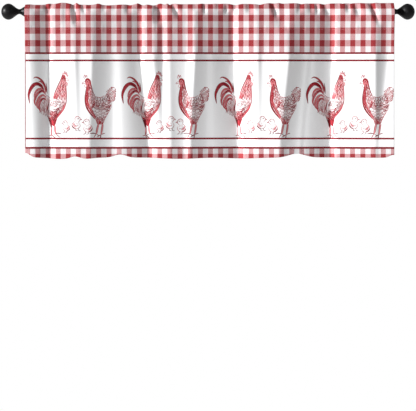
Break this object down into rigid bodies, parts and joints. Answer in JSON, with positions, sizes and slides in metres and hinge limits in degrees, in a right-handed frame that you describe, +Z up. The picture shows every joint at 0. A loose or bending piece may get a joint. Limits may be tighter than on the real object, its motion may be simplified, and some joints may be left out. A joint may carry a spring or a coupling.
{
  "type": "window valance on curtain rod",
  "caption": "Gathered window valance hanging from a round curtain rod with ball finials.",
  "frame": {"origin": "on the rod's axis at the middle of the rod's length", "axes": "+X along the rod to the viewer's right, -Y towards the room, +Z up"},
  "size_m": [1.2424, 0.066, 0.4697],
  "materials": {
    "printed_cloth": "plain-woven cloth, white ground printed in two reds",
    "rod_paint": "satin black paint",
    "finial_paint": "satin black paint"
  },
  "bodies": {
    "root": {"valance_cloth": "printed_cloth", "rod": "rod_paint", "finial_left": "finial_paint", "finial_right": "finial_paint"}
  },
  "joints": []
}
